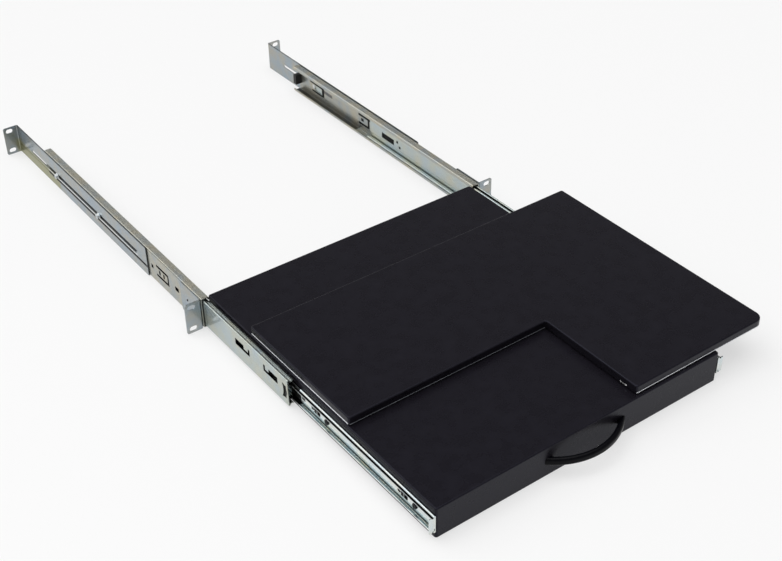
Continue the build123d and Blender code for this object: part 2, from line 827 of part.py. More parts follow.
with BuildPart() as pivot_nut:
    with Locations((pivot_x, pivot_y, pivot_nut_z)):
        add(hexagon_nut(pivot_nut_across_flats, pivot_stud_radius + stud_gap, pivot_nut_thickness))
save(pivot_nut.part, "pivot_nut")

# Glides under the plate, on a circle that stays on the tray as the plate swivels
with BuildPart() as glides:
    with BuildSketch(Plane.XY.offset(tray_top_z + pivot_face_gap)):
        with Locations(
            *[orbit(glide_orbit, glide_first_angle + i * 360 / glide_count) for i in range(glide_count)]
        ):
            Circle(glide_radius)
    extrude(amount=plate_under_z - tray_top_z - pivot_face_gap)
    fillet(glides.edges().group_by(Axis.Z)[0], glide_fillet)
save(glides.part, "glides")

# Handle: a moulded bow whose ends run into the tray's face
bow_half = handle_span / 2
bow_radius = (bow_half**2 + handle_rise**2) / (2 * handle_rise)
bow_angle = degrees(asin(bow_half / bow_radius)) + handle_trim_angle
with BuildPart() as handle:
    with BuildLine() as bow:
        CenterArc(
            (0, tray_front_y - handle_rise + bow_radius),
            bow_radius,
            270 - bow_angle,
            2 * bow_angle,
        )
    with BuildSketch(Plane(origin=bow.line @ 0, x_dir=(0, 0, 1), z_dir=bow.line % 0)):
        SlotOverall(handle_bar_height, handle_bar_depth)
    sweep()
    split(bisect_by=Plane.XZ.offset(-tray_front_y), keep=Keep.TOP)
    with Locations(*handle_screw_places):
        Cylinder(
            handle_screw_radius + stud_gap, 2 * (handle_screw_grip + bolt_gap), mode=Mode.SUBTRACT
        )
save(handle.part, "handle")

with BuildPart() as handle_screws:
    with Locations(*handle_screw_places):
        Cylinder(
            handle_screw_radius,
            handle_screw_grip,
            align=(Align.CENTER, Align.CENTER, Align.MIN),
        )
        Cylinder(
            handle_screw_radius,
            tray_sheet,
            align=(Align.CENTER, Align.CENTER, Align.MAX),
        )
    with Locations(*[place * Location((0, 0, -tray_sheet)) for place in handle_screw_places]):
        Cylinder(
            handle_screw_head_radius,
            handle_screw_head_height,
            align=(Align.CENTER, Align.CENTER, Align.MAX),
        )
save(handle_screws.part, "handle_screws")
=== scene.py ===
"""Looks of the rack keyboard shelf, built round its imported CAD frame.

The shelf is zinc-plated steel slides and brackets that carry a black powder-coated tray, with
an L-shaped plate on it. Lengths are in metres unless a name ends in _mm or _MM. X is to the
right, Y to the back and Z up, with the drawer fully out, as in the CAD source.
"""

import logging
import math
from collections.abc import Callable, Iterable
from dataclasses import dataclass
from enum import Enum

import bmesh
import bpy
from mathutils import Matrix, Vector


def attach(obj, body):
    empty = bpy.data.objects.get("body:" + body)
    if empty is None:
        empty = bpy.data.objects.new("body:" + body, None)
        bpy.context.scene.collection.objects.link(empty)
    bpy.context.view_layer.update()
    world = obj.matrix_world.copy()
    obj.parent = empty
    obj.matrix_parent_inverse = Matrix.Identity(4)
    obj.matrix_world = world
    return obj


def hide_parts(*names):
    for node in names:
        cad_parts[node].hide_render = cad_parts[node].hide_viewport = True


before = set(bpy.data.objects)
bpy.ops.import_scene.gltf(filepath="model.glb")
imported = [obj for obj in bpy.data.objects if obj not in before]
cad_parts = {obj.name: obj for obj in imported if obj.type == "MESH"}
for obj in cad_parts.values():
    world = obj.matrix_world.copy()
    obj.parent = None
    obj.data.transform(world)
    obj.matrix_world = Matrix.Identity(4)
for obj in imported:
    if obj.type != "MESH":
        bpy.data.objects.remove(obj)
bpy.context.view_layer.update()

logging.basicConfig(level=logging.INFO, format="%(message)s")
log = logging.getLogger("shelf")

Tree = bpy.types.NodeTree
Socket = bpy.types.NodeSocket

MM = 0.001
# Corners of a CAD mesh that are nearer than this, in metres, are one corner
MERGE = 0.000002
# Facets that meet at less than this are one smooth surface
SMOOTH_DEGREES = 30.0
# A face whose normal has more than this along an axis looks that way
FACING = 0.9
# How far a painted mark reaches past the hole that it goes round
MARK_RIM_MM = 0.4
# Where nearly all the values of a noise texture lie
NOISE_SPREAD = {"From Min": 0.3, "From Max": 0.7}
# The colour sockets of a Mix node, which has sockets for each kind of value
MIX_FACTOR, MIX_LOW, MIX_HIGH, MIX_RESULT = 0, 6, 7, 2
# The sRGB curve is a straight line up to its knee, and a power above it
SRGB_KNEE = 0.04045
SRGB_SLOPE = 12.92
SRGB_OFFSET = 0.055
SRGB_POWER = 2.4
# A span that is longer than the shelf
ALL_ALONG_MM = (-1000.0, 1000.0)
# How large the cool and warm places of the film on rolled sheet are
SHEET_DRIFT_MM = 110.0


def linear(hex_colour: str) -> tuple[float, float, float, float]:
    """Turn an sRGB colour to the linear values that a shader takes.

    Args:
        hex_colour: Six hex digits after a hash.

    Returns:
        Red, green, blue and a full alpha.
    """
    channels = []
    for start in (1, 3, 5):
        value = int(hex_colour[start : start + 2], 16) / 255
        low = value / SRGB_SLOPE
        high = ((value + SRGB_OFFSET) / (1 + SRGB_OFFSET)) ** SRGB_POWER
        channels.append(low if value <= SRGB_KNEE else high)
    return (*channels, 1.0)


def add_node(
    tree: Tree,
    kind: str,
    sets: dict[str | int, object] | None = None,
    links: dict[str | int, Socket] | None = None,
    **properties: object,
) -> bpy.types.Node:
    """Add one node with its settings and links.

    Args:
        tree: The material's or world's node tree.
        kind: The node's type without its Shader prefix.
        sets: Input values by socket name or number.
        links: The output that feeds each input, by the input's name or number.
        properties: The node's own settings.

    Returns:
        The new node.
    """
    node = tree.nodes.new(f"Shader{kind}")
    for name, value in properties.items():
        setattr(node, name, value)
    for name, value in (sets or {}).items():
        node.inputs[name].default_value = value
    for name, socket in (links or {}).items():
        tree.links.new(socket, node.inputs[name])
    return node


def new_material(name: str) -> tuple[bpy.types.Material, Tree]:
    """Make an empty node material.

    Args:
        name: The material's name.

    Returns:
        The material and its node tree.
    """
    material = bpy.data.materials.new(name)
    material.use_nodes = True
    material.node_tree.nodes.clear()
    return material, material.node_tree


def object_noise(
    tree: Tree, grain_mm: float, detail: float, stretch: float = 1.0, roughness: float = 0.5
) -> Socket:
    """Add a noise pattern of a real size that reads Object coordinates.

    Args:
        tree: The material's node tree.
        grain_mm: The size of its grains across the piece.
        detail: How many finer levels it has.
        stretch: How many times longer the grains are along the piece.
        roughness: How strong the finer levels are.

    Returns:
        The pattern's value.
    """
    scale = 1 / (grain_mm * MM)
    place = add_node(tree, "NodeTexCoord")
    mapping = add_node(
        tree,
        "NodeMapping",
        {"Scale": (scale, scale / stretch, scale)},
        {"Vector": place.outputs["Object"]},
    )
    noise = add_node(
        tree,
        "NodeTexNoise",
        {"Detail": detail, "Roughness": roughness},
        {"Vector": mapping.outputs["Vector"]},
    )
    return noise.outputs["Fac"]


def finished(
    material: bpy.types.Material,
    sets: dict[str, object],
    colour: Socket,
    rough: Socket,
    height: Socket,
    bump: tuple[float, float],
) -> bpy.types.Material:
    """Close a material with its bump, its shader and its output.

    Args:
        material: The material, whose patterns are made.
        sets: The values that are the same all over the surface.
        colour: The surface's colour.
        rough: Its roughness.
        height: The pattern that it is raised by.
        bump: How strong that is, and its height in millimetres.

    Returns:
        The same material.
    """
    tree = material.node_tree
    strength, height_mm = bump
    raised = add_node(
        tree, "NodeBump", {"Strength": strength, "Distance": height_mm * MM}, {"Height": height}
    )
    links = {"Base Color": colour, "Roughness": rough, "Normal": raised.outputs["Normal"]}
    shader = add_node(tree, "NodeBsdfPrincipled", sets, links)
    add_node(tree, "NodeOutputMaterial", links={"Surface": shader.outputs[0]})
    return material


@dataclass(frozen=True)
class Patch:
    """A small area with its own colour: painted shade in races, slots and holes, painted
    highlights on edges, and a few film tones.

    across_mm is measured from the shelf's middle to either side, unless signed is True.
    """

    across_mm: tuple[float, float]
    height_mm: tuple[float, float]
    along_mm: tuple[float, float] = ALL_ALONG_MM
    share: float = 1.0
    colour: str = "#080908"
    soft_mm: float = 0.15
    signed: bool = False

    def build(self, tree: Tree, split: bpy.types.Node, distance: Socket) -> Socket:
        """Give the socket that is the patch's share inside it and 0 outside.

        Args:
            tree: The material's node tree.
            split: The node that gives a point's X, Y and Z.
            distance: The point's distance from the shelf's middle.

        Returns:
            How much of the patch's colour a point has.
        """
        inside = None
        for socket, (low, high) in (
            (split.outputs["X"] if self.signed else distance, self.across_mm),
            (split.outputs["Y"], self.along_mm),
            (split.outputs["Z"], self.height_mm),
        ):
            middle = (low + high) / 2 * MM
            reach = (high - low) / 2 * MM
            away = add_node(tree, "NodeMath", {1: middle}, {0: socket}, operation="SUBTRACT")
            away = add_node(
                tree, "NodeMath", links={0: away.outputs[0]}, operation="ABSOLUTE"
            )
            edge = add_node(
                tree,
                "NodeMapRange",
                {
                    "From Min": reach - self.soft_mm * MM,
                    "From Max": reach,
                    "To Min": 1.0,
                    "To Max": 0.0,
                },
                {"Value": away.outputs[0]},
            ).outputs[0]
            if inside is not None:
                edge = add_node(
                    tree, "NodeMath", links={0: inside, 1: edge}, operation="MINIMUM"
                ).outputs[0]
            inside = edge
        sets = {"To Max": self.share}
        return add_node(tree, "NodeMapRange", sets, {"Value": inside}).outputs[0]


def patched(tree: Tree, colour: Socket, patches: tuple[Patch, ...]) -> Socket:
    """Lay patches over a colour.

    Args:
        tree: The material's node tree.
        colour: What the surface has without them.
        patches: The patches, the last on top.

    Returns:
        The colour with its patches.
    """
    if not patches:
        return colour
    place = add_node(tree, "NodeTexCoord")
    split = add_node(tree, "NodeSeparateXYZ", links={0: place.outputs["Object"]})
    distance = add_node(
        tree, "NodeMath", links={0: split.outputs["X"]}, operation="ABSOLUTE"
    ).outputs[0]
    for patch in patches:
        share = patch.build(tree, split, distance)
        colour = add_node(
            tree,
            "NodeMix",
            {MIX_HIGH: linear(patch.colour)},
            {MIX_FACTOR: share, MIX_LOW: colour},
            data_type="RGBA",
        ).outputs[MIX_RESULT]
    return colour


def painted_shade_marks(
    across_mm: tuple[float, float], places_mm: Iterable[tuple[float, float, float, float]]
) -> tuple[Patch, ...]:
    """Make painted shade in and round the punched holes and slits of one sheet.

    Args:
        across_mm: The sheet's two faces, from the shelf's middle.
        places_mm: Each mark's lowest and highest Z, and its front and back Y.

    Returns:
        A patch for each mark, a little larger than it so that its walls are inside.
    """
    return tuple(
        Patch(
            across_mm,
            (low - MARK_RIM_MM, high + MARK_RIM_MM),
            (front - MARK_RIM_MM, back + MARK_RIM_MM),
        )
        for low, high, front, back in places_mm
    )


@dataclass(frozen=True)
class ZincPlatedSteel:
    """Cold-rolled steel with bright zinc plate and a thin passivation film.

    The plate is smooth crystals in a duller ground, so a sharp reflection lies in a soft haze.
    The rolled sheet gives faint streaks along its length, and the film drifts from bluish to
    straw from place to place. Real crystals and streaks are a tenth of a millimetre and finer,
    and are drawn about ten times coarser so that they show at all.
    """

    name: str
    base: str
    cool: str
    warm: str
    gloss: float
    haze: float = 0.58
    haze_share: float = 0.45
    haze_edge: float = 0.04
    crystal_mm: float = 0.8
    drift_mm: float = 60.0
    cool_band: tuple[float, float] = (0.48, 0.66)
    warm_band: tuple[float, float] = (0.32, 0.50)
    streak_mm: float = 1.2
    streak_stretch: float = 60.0
    streak_tones: tuple[float, float] = (0.94, 1.04)
    streak_rough: float = 0.02
    bump: float = 0.5
    bump_mm: float = 0.01
    patches: tuple[Patch, ...] = ()

    def film_colour(self, tree: Tree) -> Socket:
        """Blend the film's three colours along its slow drift.

        Args:
            tree: The material's node tree.

        Returns:
            The film's colour.
        """
        drift = object_noise(tree, self.drift_mm, detail=3.0, roughness=0.55)
        cool_low, cool_high = self.cool_band
        warm_low, warm_high = self.warm_band
        cool_share = add_node(
            tree, "NodeMapRange", {"From Min": cool_low, "From Max": cool_high}, {"Value": drift}
        )
        film = add_node(
            tree,
            "NodeMix",
            {MIX_LOW: linear(self.base), MIX_HIGH: linear(self.cool)},
            {MIX_FACTOR: cool_share.outputs[0]},
            data_type="RGBA",
        )
        warm_share = add_node(
            tree,
            "NodeMapRange",
            {"From Min": warm_low, "From Max": warm_high, "To Min": 1.0, "To Max": 0.0},
            {"Value": drift},
        )
        return add_node(
            tree,
            "NodeMix",
            {MIX_HIGH: linear(self.warm)},
            {MIX_FACTOR: warm_share.outputs[0], MIX_LOW: film.outputs[MIX_RESULT]},
            data_type="RGBA",
        ).outputs[MIX_RESULT]

    def plate_roughness(self, tree: Tree, streaks: Socket) -> Socket:
        """Mix smooth crystals with the duller ground, and streak both a little.

        Args:
            tree: The material's node tree.
            streaks: The rolled sheet's streaks.

        Returns:
            The plate's roughness.
        """
        crystals = object_noise(tree, self.crystal_mm, detail=2.0)
        # The crystals' edge value that leaves about haze_share of the plate dull
        edge = 0.5 + 0.25 * (0.5 - self.haze_share)
        crystal_rough = add_node(
            tree,
            "NodeMapRange",
            {
                "From Min": edge - self.haze_edge,
                "From Max": edge + self.haze_edge,
                "To Min": self.gloss,
                "To Max": self.haze,
            },
            {"Value": crystals},
        )
        streak_rough = add_node(
            tree,
            "NodeMapRange",
            NOISE_SPREAD | {"To Min": -self.streak_rough, "To Max": self.streak_rough},
            {"Value": streaks},
        )
        return add_node(
            tree,
            "NodeMath",
            links={0: crystal_rough.outputs[0], 1: streak_rough.outputs[0]},
            operation="ADD",
        ).outputs[0]

    def build(self) -> bpy.types.Material:
        """Make the material from its drifting film, rolled streaks and fine crystals.

        Returns:
            The new material.
        """
        material, tree = new_material(self.name)
        streaks = object_noise(
            tree, self.streak_mm, detail=4.0, stretch=self.streak_stretch, roughness=0.7
        )
        dull, bright = self.streak_tones
        tone = add_node(
            tree,
            "NodeMapRange",
            NOISE_SPREAD | {"To Min": dull, "To Max": bright},
            {"Value": streaks},
        )
        streaked = add_node(
            tree,
            "NodeHueSaturation",
            links={"Color": self.film_colour(tree), "Value": tone.outputs[0]},
        )
        colour = patched(tree, streaked.outputs["Color"], self.patches)
        rough = self.plate_roughness(tree, streaks)
        bump = (self.bump, self.bump_mm)
        return finished(material, {"Metallic": 1.0}, colour, rough, streaks, bump)


@dataclass(frozen=True)
class PowderCoat:
    """Polyester powder coat baked on steel.

    It flows to a satin film with a fine orange peel, and rubs a little smoother in patches.
    """

    name: str
    base: str = "#141217"
    dusty: str = "#19171d"
    dust_band: tuple[float, float] = (0.4, 0.75)
    dust_share: float = 0.5
    dust_mm: float = 90.0
    roughness: tuple[float, float] = (0.24, 0.33)
    peel_mm: float = 1.4
    bump: float = 0.6
    bump_mm: float = 0.03
    ior: float = 1.45
    specular: float = 0.22
    sheen: str = "#d0d6f5"
    patches: tuple[Patch, ...] = ()

    def build(self) -> bpy.types.Material:
        """Make the material from its orange peel and its rubbed patches.

        Returns:
            The new material.
        """
        material, tree = new_material(self.name)
        rubbed = object_noise(tree, self.dust_mm, detail=4.0, roughness=0.6)
        peel = object_noise(tree, self.peel_mm, detail=2.0)
        clean, dusty = self.dust_band
        share = add_node(
            tree,
            "NodeMapRange",
            {"From Min": clean, "From Max": dusty, "To Max": self.dust_share},
            {"Value": rubbed},
        )
        colour = add_node(
            tree,
            "NodeMix",
            {MIX_LOW: linear(self.base), MIX_HIGH: linear(self.dusty)},
            {MIX_FACTOR: share.outputs[0]},
            data_type="RGBA",
        ).outputs[MIX_RESULT]
        smooth, rough = self.roughness
        satin = add_node(
            tree,
            "NodeMapRange",
            NOISE_SPREAD | {"To Min": smooth, "To Max": rough},
            {"Value": rubbed},
        )
        sets = {
            "IOR": self.ior,
            "Specular IOR Level": self.specular,
            "Specular Tint": linear(self.sheen),
        }
        colour = patched(tree, colour, self.patches)
        bump = (self.bump, self.bump_mm)
        return finished(material, sets, colour, satin.outputs[0], peel, bump)


@dataclass(frozen=True)
class MouldedPlastic:
    """Injection-moulded plastic or rubber, with the mould's fine texture on it.

    The texture's grains are drawn several times coarser than real so that they show.
    """

    name: str
    base: str
    mottle: str
    roughness: float
    rough_spread: float = 0.03
    grain_mm: float = 0.8
    bump: float = 0.5
    bump_mm: float = 0.01
    mottle_mm: float = 25.0
    mottle_band: tuple[float, float] = (0.35, 0.65)
    ior: float = 1.46
    specular: float = 0.5
    subsurface: float = 0.0

    def build(self) -> bpy.types.Material:
        """Make the material from its mottled colour and its mould grain.

        Returns:
            The new material.
        """
        material, tree = new_material(self.name)
        mottle = object_noise(tree, self.mottle_mm, detail=3.0)
        grain = object_noise(tree, self.grain_mm, detail=2.0)
        low, high = self.mottle_band
        share = add_node(
            tree, "NodeMapRange", {"From Min": low, "From Max": high}, {"Value": mottle}
        )
        colour = add_node(
            tree,
            "NodeMix",
            {MIX_LOW: linear(self.base), MIX_HIGH: linear(self.mottle)},
            {MIX_FACTOR: share.outputs[0]},
            data_type="RGBA",
        ).outputs[MIX_RESULT]
        rough = add_node(
            tree,
            "NodeMapRange",
            NOISE_SPREAD
            | {
                "To Min": self.roughness - self.rough_spread,
                "To Max": self.roughness + self.rough_spread,
            },
            {"Value": grain},
        )
        sets = {
            "IOR": self.ior,
            "Specular IOR Level": self.specular,
            "Subsurface Weight": self.subsurface,
        }
        bump = (self.bump, self.bump_mm)
        return finished(material, sets, colour, rough.outputs[0], grain, bump)


class Side(Enum):
    """The side of the shelf that a paired piece belongs to."""

    LEFT = "left"
    RIGHT = "right"

    @property
    def outward(self) -> float:
        """Give the sign of X on this side.

        Returns:
            -1 on the left and 1 on the right.
        """
        return -1.0 if self is Side.LEFT else 1.0


def dress(node: str, material: bpy.types.Material) -> None:
    """Give a CAD node its finish on its object's material slots.

    Args:
        node: The CAD node.
        material: Its finish.
    """
    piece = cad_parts[node]
    for place in piece.material_slots:
        place.link = "OBJECT"
        place.material = material
    log.info("dressed %s in %s", node, material.name)


def select_only(piece: bpy.types.Object) -> None:
    """Select one object alone and make it active.

    Args:
        piece: The object.
    """
    bpy.ops.object.select_all(action="DESELECT")
    piece.select_set(True)
    bpy.context.view_layer.objects.active = piece


def pick_faces(piece: bpy.types.Object, wanted: Callable[[Vector, Vector], bool]) -> None:
    """Select the faces of the piece in edit mode by their place and normal.

    Args:
        piece: The piece, in edit mode.
        wanted: Takes a face's middle and its normal, and says whether it is selected.
    """
    bpy.ops.mesh.select_mode(type="FACE")
    bpy.ops.mesh.select_all(action="DESELECT")
    mesh = bmesh.from_edit_mesh(piece.data)
    for face in mesh.faces:
        if wanted(face.calc_center_median(), face.normal):
            face.select_set(True)
    bmesh.update_edit_mesh(piece.data)


def copy_of_node(node: str, name: str) -> bpy.types.Object:
    """Copy a CAD node's shape to a new piece, with its loose triangles merged.

    Args:
        node: The CAD node.
        name: The new piece's name.

    Returns:
        The new piece, selected and active.
    """
    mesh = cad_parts[node].data.copy()
    mesh.name = name
    mesh.materials.clear()
    piece = bpy.data.objects.new(name, mesh)
    bpy.context.scene.collection.objects.link(piece)
    select_only(piece)
    bpy.ops.mesh.customdata_custom_splitnormals_clear()
    bpy.ops.object.mode_set(mode="EDIT")
    bpy.ops.mesh.select_all(action="SELECT")
    bpy.ops.mesh.remove_doubles(threshold=MERGE)
    bpy.ops.mesh.normals_make_consistent(inside=False)
    bpy.ops.object.mode_set(mode="OBJECT")
    return piece


def finish_piece(
    piece: bpy.types.Object,
    material: bpy.types.Material,
    body: str,
    replaced: Iterable[str] = (),
) -> None:
    """Smooth a piece, dress it and tie it to its body.

    Args:
        piece: The finished mesh.
        material: Its finish.
        body: The body that it rides on.
        replaced: The CAD nodes that it stands for.
    """
    select_only(piece)
    bpy.ops.object.shade_smooth_by_angle(angle=math.radians(SMOOTH_DEGREES))
    piece.data.materials.clear()
    piece.data.materials.append(material)
    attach(piece, body)
    for node in replaced:
        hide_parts(node)
    log.info("made %s on %s", piece.name, body)


# Where the slides' sheets and grooves lie, from the shelf's middle
OUTER_RACE_MM = (208.0, 217.5)
OUTER_BEND_MM = (217.9, 219.0)
OUTER_WEB_MM = (217.3, 219.2)
OUTER_WEB_FACE_MM = (217.3, 217.8)
MIDDLE_RACE_MM = (208.5, 215.2)
MIDDLE_GROOVE_MM = (212.2, 213.9)
MIDDLE_WEB_MM = (215.2, 216.6)
INNER_WEB_MM = (205.9, 207.7)
CAGE_WEB_MM = (215.0, 217.0)

# Marks of painted shade on the slides, each with its lowest and highest Z, and its front and
# back Y
LATCH_SLITS_MM = (
    (4.9, 8.2, 379.0, 417.0),
    (-8.5, 6.0, 379.0, 383.5),
    (-2.6, 1.8, 404.5, 410.0),
    (-8.8, -6.4, 383.0, 412.0),
)
TONGUE_SLITS_MM = (
    (5.5, 8.5, 85.0, 116.6),
    (-8.5, -5.5, 85.0, 116.6),
    (-7.6, 7.6, 84.5, 87.5),
)
TONGUE_SLOTS_MM = ((-3.1, 3.1, 95.3, 98.7), (-3.1, 3.1, 106.3, 109.7))
OVAL_HOLE_MM = (-2.8, 2.8, 58.7, 67.3)
ROUND_HOLE_MM = (-2.5, 2.5, 125.5, 130.5)
MIDDLE_WINDOWS_MM = ((0.8, 9.2, -94.3, -75.7), (0.8, 9.2, -168.3, -149.7))
WINDOW_HOOKS_MM = (
    (0.8, 4.2, -107.4, -93.0),
    (3.0, 9.8, -107.6, -104.4),
    (0.8, 4.2, -151.0, -138.6),
    (3.0, 9.8, -141.6, -138.4),
)
CRESCENT_MM = (-8.6, 8.6, -186.4, -181.0)
FRONT_PUNCHES_MM = (
    (-1.7, 1.7, -391.0, -387.2),
    (-3.2, 3.2, -395.8, -392.6),
    (-3.2, 3.2, -403.0, -398.0),
)
REAR_PUNCHES_MM = (
    (-1.7, 1.7, -229.0, -225.2),
    (-3.2, 3.2, -233.8, -230.6),
    (-3.2, 3.2, -241.0, -236.0),
    (-1.0, 4.0, -212.0, -206.0),
)
CAGE_END_MARKS_MM = (
    (4.6, 8.4, 248.0, 285.0),
    (-8.0, 6.0, 256.0, 260.0),
    (-2.6, 1.8, 271.0, 277.0),
    (-9.4, -6.4, 258.0, 285.0),
)


@dataclass
class SlidePair:
    """The two telescopic slides: outer, middle and inner members, cages and balls."""

    # The outer member's plate is mostly dull, with a straw film
    outer: ZincPlatedSteel = ZincPlatedSteel(
        "zinc_outer_member",
        base="#b2b2a9",
        cool="#a6acad",
        warm="#b8b3a3",
        gloss=0.20,
        drift_mm=SHEET_DRIFT_MM,
        haze_share=0.6,
        patches=(
            # Painted shade in the ball tracks, below and above
            Patch(OUTER_RACE_MM, (-20.6, -14.0), share=0.85),
            Patch(OUTER_RACE_MM, (14.0, 20.6), share=0.85),
            # Painted shadow along the top bend, beside the rear bracket's arm
            Patch(OUTER_BEND_MM, (20.5, 21.7), share=0.75),
            # Painted shade on the flank that shows through the slot of the rear bracket's arm
            Patch((218.0, 219.6), (-4.2, 3.0), (172.0, 440.0)),
            # A painted shadow in front of the latch
            Patch(OUTER_WEB_FACE_MM, (-0.5, 5.0), (356.0, 379.0), share=0.7, colour="#3c3a44"),
            # Painted shade in the slits round the latch, and in the tongue's slits and slots and
            # the two holes
            *painted_shade_marks(OUTER_WEB_FACE_MM, LATCH_SLITS_MM),
            *painted_shade_marks(
                OUTER_WEB_MM, (*TONGUE_SLITS_MM, *TONGUE_SLOTS_MM, OVAL_HOLE_MM, ROUND_HOLE_MM)
            ),
        ),
    )
    # The middle member is glossier and greener, with painted shade in its grooves
    middle: ZincPlatedSteel = ZincPlatedSteel(
        "zinc_middle_member",
        base="#b9c0bb",
        cool="#b4bfc2",
        warm="#c0c1b4",
        gloss=0.14,
        drift_mm=SHEET_DRIFT_MM,
        patches=(
            # Painted shade in the grooves, above and below
            Patch(MIDDLE_GROOVE_MM, (15.8, 18.0)),
            Patch(MIDDLE_GROOVE_MM, (-18.0, -15.8)),
            # Painted shade in the upper race behind the front brackets
            Patch(MIDDLE_RACE_MM, (14.5, 19.0), (20.0, 260.0), share=0.9),
            # Painted shade in the windows, their hooked tails and the crescent
            *painted_shade_marks(MIDDLE_WEB_MM, (*MIDDLE_WINDOWS_MM, *WINDOW_HOOKS_MM, CRESCENT_MM)),
        ),
    )
    # The inner member is the brightest, wiped clean by the balls
    inner: ZincPlatedSteel = ZincPlatedSteel(
        "zinc_inner_member",
        base="#dde2e0",
        cool="#d4dfe2",
        warm="#dfe0d4",
        gloss=0.12,
        haze_share=0.35,
        drift_mm=SHEET_DRIFT_MM,
        patches=(
            # Painted shade in the flanges' grooves, and a painted highlight on the lip of the
            # lower one
            Patch((208.7, 211.2), (9.4, 10.7)),
            Patch((208.7, 210.8), (-10.7, -9.8)),
            Patch((211.0, 211.3), (-10.6, -8.8), colour="#ffffff"),
            # A painted reflection as a pale band on the web, and painted shade in the darker
            # bands under it
            Patch((206.9, 207.7), (-2.0, 7.0), share=0.9, colour="#f8faf9", soft_mm=2.4),
            Patch((206.9, 208.4), (-8.9, -5.9), colour="#1b2b33", soft_mm=0.5),
            Patch((207.7, 210.7), (-9.6, -8.4), share=0.85, colour="#60777d"),
            # Painted shade at the end beside the middle member's front
            Patch((205.9, 211.2), (-12.5, 12.5), (-204.0, -184.0), share=0.95),
            # Painted shade in the two groups of a dot, a bar and a block, and in a mark behind
            # the rear one
            *painted_shade_marks(INNER_WEB_MM, (*FRONT_PUNCHES_MM, *REAR_PUNCHES_MM)),
        ),
    )
    # The cages are painted dark as shade where they show
    cage: ZincPlatedSteel = ZincPlatedSteel(
        "spring_steel_cage",
        base="#a3a6a2",
        cool="#9aa2a4",
        warm="#a8a598",
        gloss=0.24,
        patches=(
            # Painted shade on the outer side, and on the inner side up to the middle member's
            # back end
            Patch((217.05, 217.5), (-21.0, 21.0)),
            Patch((208.0, 217.0), (-21.0, 21.0), (-200.0, 248.0)),
            # Painted shade on the cage's back end, where it shows through the middle member's
            # rear window
            *painted_shade_marks(CAGE_WEB_MM, CAGE_END_MARKS_MM),
        ),
    )
    # Ground balls mirror sharply all over
    ball: ZincPlatedSteel = ZincPlatedSteel(
        "chrome_steel_ball",
        base="#dcdde0",
        cool="#d8dce2",
        warm="#dddbd8",
        gloss=0.10,
        haze=0.14,
    )
    # Dull black rubber, which hardly mirrors
    stop: MouldedPlastic = MouldedPlastic(
        "rubber_stop", base="#141414", mottle="#1c1b1a", roughness=0.62
    )
    inner_edge: float = 211.1 * MM
    tab_edge: float = 214.3 * MM
    tab_back: float = -448.8 * MM
    latch_places: tuple[float, float] = (384.0 * MM, 403.0 * MM)
    latch_heights: tuple[float, float] = (-6.0 * MM, 4.6 * MM)
    latch_faces: tuple[float, float] = (216.95 * MM, 217.7 * MM)
    latch_bevel: float = 0.3 * MM
    latch_rim: float = 2.2 * MM
    latch_dip: float = -0.35 * MM

    def build(self) -> None:
        """Dress both slides' nodes and make their inner members and latches."""
        finishes = {
            "outer_slide": self.outer.build(),
            "middle_slide": self.middle.build(),
            "outer_cage": self.cage.build(),
            "rear_stop": self.stop.build(),
            "outer_balls": self.ball.build(),
        }
        finishes["inner_cage"] = finishes["outer_cage"]
        finishes["inner_balls"] = finishes["outer_balls"]
        for name, material in finishes.items():
            for side in Side:
                dress(f"{name}_{side.value}", material)
        inner = self.inner.build()
        for side in Side:
            self.make_inner_member(side, inner)
            self.make_latch(side, finishes["middle_slide"])

    def make_inner_member(self, side: Side, material: bpy.types.Material) -> None:
        """Make the inner member with flanges that end at the grooves, and its front tab.

        Args:
            side: The side of the shelf.
            material: The member's finish.
        """
        node = f"inner_slide_{side.value}"
        piece = copy_of_node(node, f"inner_member_{side.value}")
        out = side.outward
        bpy.ops.object.mode_set(mode="EDIT")
        bpy.ops.mesh.select_all(action="SELECT")
        bpy.ops.mesh.bisect(
            plane_co=(out * self.inner_edge, 0.0, 0.0),
            plane_no=(out, 0.0, 0.0),
            clear_outer=True,
            use_fill=True,
        )
        bpy.ops.mesh.select_all(action="SELECT")
        bpy.ops.mesh.bisect(plane_co=(0.0, self.tab_back, 0.0), plane_no=(0.0, 1.0, 0.0))
        pick_faces(
            piece,
            lambda middle, normal: middle.y < self.tab_back
            and abs(middle.x - out * self.inner_edge) < MERGE
            and abs(normal.x) > FACING,
        )
        bpy.ops.mesh.extrude_region_move(
            TRANSFORM_OT_translate={
                "value": (out * (self.tab_edge - self.inner_edge), 0.0, 0.0)
            }
        )
        bpy.ops.mesh.select_all(action="SELECT")
        bpy.ops.mesh.remove_doubles(threshold=MERGE)
        bpy.ops.mesh.normals_make_consistent(inside=False)
        bpy.ops.object.mode_set(mode="OBJECT")
        finish_piece(piece, material, "drawer", (node,))

